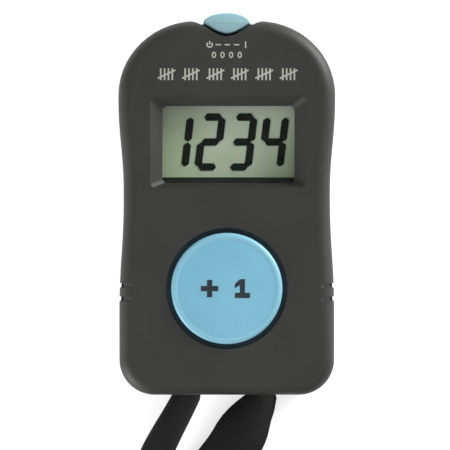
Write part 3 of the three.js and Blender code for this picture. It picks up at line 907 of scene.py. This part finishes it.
for number, place in enumerate(caseScrewPlaces, 1):
    screw = makeScrew(f"caseScrew{number}", place, screwShape, screwSteel)
    belongs(screw, "case", "steel", f"case_screw_{number}")
boardScrewShape = dict(screwShape, headRadius=1.6, headLow=5.0, headHigh=6.3, shaft=0.7, tip=11.2)
for side, place in zip(("left", "right"), boardScrewPlaces):
    screw = makeScrew(f"boardScrew{side.title()}", place, boardScrewShape, screwSteel)
    belongs(screw, "case", "steel", f"board_screw_{side}")
print("screws made")


# Buttons

legend = {"ink": 0.03, "line": 0.3, "tallyY": 24.9, "tallyHeight": 2.2, "tallyGroups": 6, "tallyLeft": -12.75,
          "groupPitch": 4.55, "strokePitch": 0.72}

countKey = {"radius": 10.35, "flange": 12.2, "flangeLow": 11.5, "flangeHigh": 12.7, "rim": 0.75,
            "dish": 0.1, "inner": 9.4, "innerTop": 14.2, "nub": 2.0, "nubLow": 11.0}


def makeCountButton():
    key = countKey
    top = countMiddle.z + countSize.z / 2 - legend["ink"]
    rim = arcPoints(key["radius"] - key["rim"], top - key["rim"] - key["dish"], key["rim"], 0, 90, 10)
    crown = [(9.4, top - key["dish"]), (9.25, top - key["dish"] - 0.07), (9.0, top - key["dish"] - 0.07),
             (8.6, top - 0.1), (5, top - 0.03), (2.5, top), (0, top)]
    bm = bmesh.new()
    addTurned(bm, 0, countMiddle.y, [
        (0, key["nubLow"]), (key["nub"] - 0.3, key["nubLow"]), (key["nub"], key["nubLow"] + 0.3),
        (key["nub"], key["innerTop"]), (key["inner"], key["innerTop"]), (key["inner"], key["flangeLow"]),
        (key["flange"] - 0.15, key["flangeLow"]), (key["flange"], key["flangeLow"] + 0.15),
        (key["flange"], key["flangeHigh"]), (key["radius"], key["flangeHigh"]), *rim, *crown], 160)
    button = newPiece("countButton", bm, countPlastic, 35)
    return belongs(button, "count_key", "count_blue", "count_button")


resetCap = {"halfWidth": 4.4, "gap": 0.6, "round": 0.55}


def makeResetButton(steps=24):
    half, low, high = resetCap["halfWidth"], resetLow.z / mm, resetHigh.z / mm
    sideY = scallopY(half) + resetCap["gap"]
    bulge = caseTop + 1.5 - sideY
    floor = [half * (2 * i / steps - 1) for i in range(steps + 1)]
    outline = [(x, scallopY(x) + resetCap["gap"]) for x in floor]
    outline += [(x, sideY + y * bulge / half) for x, y in arcRoute(0, 0, half, 0, 180, steps)[1:-1]]
    bm = bmesh.new()
    verts = [bm.verts.new(at(x, y, low)) for x, y in outline]
    raiseFace(bm, bm.faces.new(verts), up * (high - low))
    caps = [e for f in bm.faces if abs(f.normal.z) > 0.9 for e in f.edges]
    bmesh.ops.bevel(bm, geom=caps, offset=resetCap["round"] * mm, segments=6, profile=0.5, affect="EDGES",
                    clamp_overlap=True, material=-1)
    button = newPiece("resetButton", bm, resetPlastic)

    carve(button, tool(lambda bm: addRod(bm, 0, 4.4, 1.1, 26.9, caseTop - 0.8)), "UNION")
    carve(button, tool(lambda bm: addBlock(bm, (-2.5, 29.3, 3.3), (2.5, 30.3, 5.6))), "UNION")
    smoothOver(button, 50)
    return belongs(button, "reset_key", "reset_blue", "reset_button")


# A thin navy ring under the face, across the gap round the count button: painted shade, standing in for the blue
# flange seen in the gap's shadow
def makeGapShadeRing():
    bm = bmesh.new()
    y = countMiddle.y
    addTurned(bm, 0, y, [(10.45, 12.76), (12.6, 12.76), (12.6, 12.96), (10.45, 12.96), (10.45, 12.76)], 96)
    shadeRing = newPiece("countGapShade", bm, gapShadeRubber, 35)
    return belongs(shadeRing, "case", "black_rubber")


# The silicone dome under the count button, in its unpressed shape
countDome = {"radius": 5, "inner": 4, "foot": 7.9, "shoulder": 8.5, "crown": 10.7, "crownRadius": 2.4, "under": 9.9,
             "pressed": 0.64}


def makeCountDome():
    dome, y = countDome, countMiddle.y
    bm = bmesh.new()
    addTurned(bm, 0, y, [
        (0, dome["under"]), (1.6, dome["under"]), (dome["inner"] - 0.2, dome["shoulder"]),
        (dome["inner"], dome["foot"]), (dome["radius"], dome["foot"]), (dome["radius"], dome["shoulder"]),
        (dome["crownRadius"] + 0.5, dome["crown"] - 0.5), (dome["crownRadius"], dome["crown"] - 0.1),
        (dome["crownRadius"] - 0.3, dome["crown"]), (0, dome["crown"])], 64)
    cup = newPiece("countDome", bm, paleSilicone, 35)
    belongs(cup, "case", "silicone", "count_dome")
    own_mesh(cup)


makeCountButton()
makeGapShadeRing()
makeCountDome()
makeResetButton()
print("buttons made")


# Display: the slanted digits

digitShape = {
    "height": 10.75,
    "width": 4.85,
    "thick": 1.4,
    "gap": 0.05,
    "point": 0.36,
    "slant": 0.118,
    "pitch": 5.95,
    "lastRight": 11.2,
    "y": 12.36,
    "z": 10.64,
    "ink": 0.06,
}
# Segments are a top, b and c right, d bottom, e and f left, g middle
segmentsOf = {"0": "abcdef", "1": "bc", "2": "abged", "3": "abgcd", "4": "fgbc"}
reading = "1234"


# Each segment is a bar with pointed ends between two corners of the figure
def addSegment(bm, start, end, place):
    start, end = Vector((*start, 0)), Vector((*end, 0))
    along = (end - start).normalized()
    side = Vector((-along.y, along.x, 0)) * digitShape["thick"] / 2
    reach = digitShape["thick"] * digitShape["point"]
    a, b = start + along * digitShape["gap"], end - along * digitShape["gap"]
    corners = [a, a + along * reach + side, b - along * reach + side, b, b - along * reach - side,
               a + along * reach - side]
    verts = []
    for corner in corners:
        x = place + corner.x + corner.y * digitShape["slant"]
        verts.append(bm.verts.new(at(x, digitShape["y"] + corner.y, digitShape["z"])))
    raiseFace(bm, bm.faces.new(verts), up * digitShape["ink"])


def makeDigits():
    halfWidth = (digitShape["width"] - digitShape["thick"]) / 2
    halfHeight = (digitShape["height"] - digitShape["thick"]) / 2
    left, right, top = -halfWidth, halfWidth, halfHeight
    ends = {
        "a": ((left, top), (right, top)), "b": ((right, top), (right, 0)), "c": ((right, 0), (right, -top)),
        "d": ((left, -top), (right, -top)), "e": ((left, 0), (left, -top)), "f": ((left, top), (left, 0)),
        "g": ((left, 0), (right, 0)),
    }
    for n, figure in enumerate(reading):
        place = digitShape["lastRight"] - digitShape["width"] / 2 - digitShape["pitch"] * (len(reading) - 1 - n)
        bm = bmesh.new()
        for segment in segmentsOf[figure]:
            addSegment(bm, *ends[segment], place)
        digit = newPiece(f"displayDigit{n + 1}", bm, digitInk, 0)
        belongs(digit, "case", "epoxy")


digitInk = segmentInk()
makeDigits()
print("display made")


# Printed legends: tally marks across the top, and small symbols under the reset button


# A flat printed shape from its corners
def addPrint(bm, corners, z, grow=1.0):
    verts = [bm.verts.new(at(x, y, z)) for x, y in corners]
    raiseFace(bm, bm.faces.new(verts), up * legend["ink"] * grow)


def addBar(bm, x0, y0, x1, y1, width, z, grow=1.0):
    start, end = Vector((x0, y0)), Vector((x1, y1))
    along = (end - start).normalized() * width / 2
    side = Vector((-along.y, along.x))
    addPrint(bm, [start - along + side, start - along - side, end + along - side, end + along + side], z, grow)


def makeTallyMarks():
    bm = bmesh.new()
    half = legend["tallyHeight"] / 2 - legend["line"] / 2
    y = legend["tallyY"]
    for group in range(legend["tallyGroups"]):
        left = legend["tallyLeft"] + legend["groupPitch"] * group
        for stroke in range(4):
            x = left + legend["strokePitch"] * (stroke + 0.6)
            addBar(bm, x, y - half, x, y + half, legend["line"], faceZ)
        addBar(bm, left, y - half * 0.75, left + legend["strokePitch"] * 4.2, y + half * 0.75,
               legend["line"], faceZ, 1.5)
    marks = newPiece("tallyMarks", bm, legendInk, 0)
    return belongs(marks, "case", "white_plastic")


# A printed ring, such as a nought or a power sign, with an opening at its top
def addRing(bm, x, y, radiusX, radiusY, width, z, opening=0, steps=24):
    start = 90 + opening / 2
    route = arcRoute(0, 0, 1, start, start + 360 - opening, steps)
    outer = [bm.verts.new(at(x + px * radiusX, y + py * radiusY, z)) for px, py in route]
    inner = [bm.verts.new(at(x + px * (radiusX - width), y + py * (radiusY - width), z)) for px, py in route]
    faces = [bm.faces.new((outer[i], outer[i + 1], inner[i + 1], inner[i])) for i in range(steps)]
    made = bmesh.ops.extrude_face_region(bm, geom=faces)["geom"]
    bmesh.ops.translate(bm, verts=[v for v in made if isinstance(v, bmesh.types.BMVert)], vec=up * legend["ink"] * mm)
    bmesh.ops.remove_doubles(bm, verts=bm.verts, dist=1e-7)
    bmesh.ops.recalc_face_normals(bm, faces=bm.faces)


def makeSymbols():
    bm = bmesh.new()
    line = 0.24
    upper, lower = 30.4, 28.5
    addRing(bm, -3.2, upper, 0.62, 0.58, line, faceZ, opening=80)
    addBar(bm, -3.2, upper + 0.1, -3.2, upper + 0.6, line, faceZ)
    for x in (-1.6, 0.1, 1.8):
        addBar(bm, x - 0.4, upper, x + 0.4, upper, line, faceZ)
    addBar(bm, 3.5, upper - 0.5, 3.5, upper + 0.5, line, faceZ)
    for n in range(4):
        addRing(bm, -2.4 + 1.6 * n, lower, 0.42, 0.6, line, faceZ)
    symbols = newPiece("resetSymbols", bm, legendInk, 0)
    return belongs(symbols, "case", "white_plastic")


# The count button's mark is a plus sign and a one
countMark = {"y": 0, "height": 3.5, "line": 0.95, "plusX": -3.2, "oneX": 2.9, "serif": 1.4}


def makeCountMark():
    bm = bmesh.new()
    z = countMiddle.z + countSize.z / 2 - legend["ink"]
    y, half, line = countMiddle.y + countMark["y"], countMark["height"] / 2, countMark["line"] / 2
    arm, x, serif = half * 0.92, countMark["plusX"], countMark["serif"]
    addPrint(bm, [(x - line, y - arm), (x + line, y - arm), (x + line, y - line), (x + arm, y - line),
                  (x + arm, y + line), (x + line, y + line), (x + line, y + arm), (x - line, y + arm),
                  (x - line, y + line), (x - arm, y + line), (x - arm, y - line), (x - line, y - line)], z)
    x, foot = countMark["oneX"], y - half + 2 * line
    addPrint(bm, [(x - serif, y - half), (x + serif, y - half), (x + serif, foot), (x + line, foot),
                  (x + line, y + half), (x - line, y + half), (x - serif, y + half - 0.9),
                  (x - serif, y + half - 1.7), (x - line, y + half - 1.1), (x - line, foot), (x - serif, foot)], z)
    mark = newPiece("countMark", bm, countInk, 0)
    return belongs(mark, "count_key", "epoxy")


makeTallyMarks()
makeSymbols()
makeCountMark()
print("legends made")


# Finishes of the CAD nodes that stay

displayBacking = makeBacking()
finishOf = {
    "display_window": clearWindow,
    "display_holder": blackPlastic,
    "lcd_front_glass": frontGlass,
    "lcd_rear_glass": displayBacking,
    "lcd_reflector": displayBacking,
    "zebra_strip_upper": blackRubber,
    "zebra_strip_lower": blackRubber,
    "circuit_board": boardMask(),
    "controller_blob": blackPlastic,
    "quartz_crystal": cellSteel,
    "filter_capacitor": blackPlastic,
    "count_pill": blackRubber,
    "reset_switch_body": blackPlastic,
    "reset_switch_plunger": whitePlastic,
    "coin_cell": cellSteel,
    "cell_contact_positive": platedStrip,
    "cell_contact_negative": platedStrip,
}
for node, material in finishOf.items():
    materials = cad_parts[node].data.materials
    materials.clear()
    materials.append(material)
print("inner parts finished")

bpy.context.view_layer.update()
floorSetup = {"size": 3.0}
bm = bmesh.new()
bmesh.ops.create_grid(bm, x_segments=1, y_segments=1, size=floorSetup["size"] / 2)
floorPaint, floorShader = startMaterial("floorPaint", (0.93, 0.93, 0.93), 0.9)
floorShader.inputs["Emission Color"].default_value = (1, 1, 1, 1)
floorShader.inputs["Emission Strength"].default_value = 0.55
floor = newPiece("floor", bm, floorPaint, 0)
floor.location.z = -0.0001


# Light

def addLamp(name, x, y, z, size, power, tint=(1, 1, 1)):
    lamp = bpy.data.lights.new(name, "AREA")
    lamp.shape, lamp.size, lamp.energy, lamp.color = "DISK", size, power, tint
    holder = bpy.data.objects.new(name, lamp)
    bpy.context.scene.collection.objects.link(holder)
    holder.location = (x, y, z)
    holder.rotation_euler = (Vector((0, 0, 0)) - holder.location).to_track_quat("-Z", "Y").to_euler()


addLamp("overhead", 0.1, -0.35, 0.95, 0.7, 1.3)
addLamp("side", 0.75, 0.6, 0.22, 0.45, 14)
addLamp("rim", -0.75, -0.6, 0.22, 0.5, 8)
world = bpy.data.worlds.new("studio")
world.use_nodes = True
world.node_tree.nodes["Background"].inputs["Color"].default_value = (1, 1, 1, 1)
world.node_tree.nodes["Background"].inputs["Strength"].default_value = 0.5
bpy.context.scene.world = world
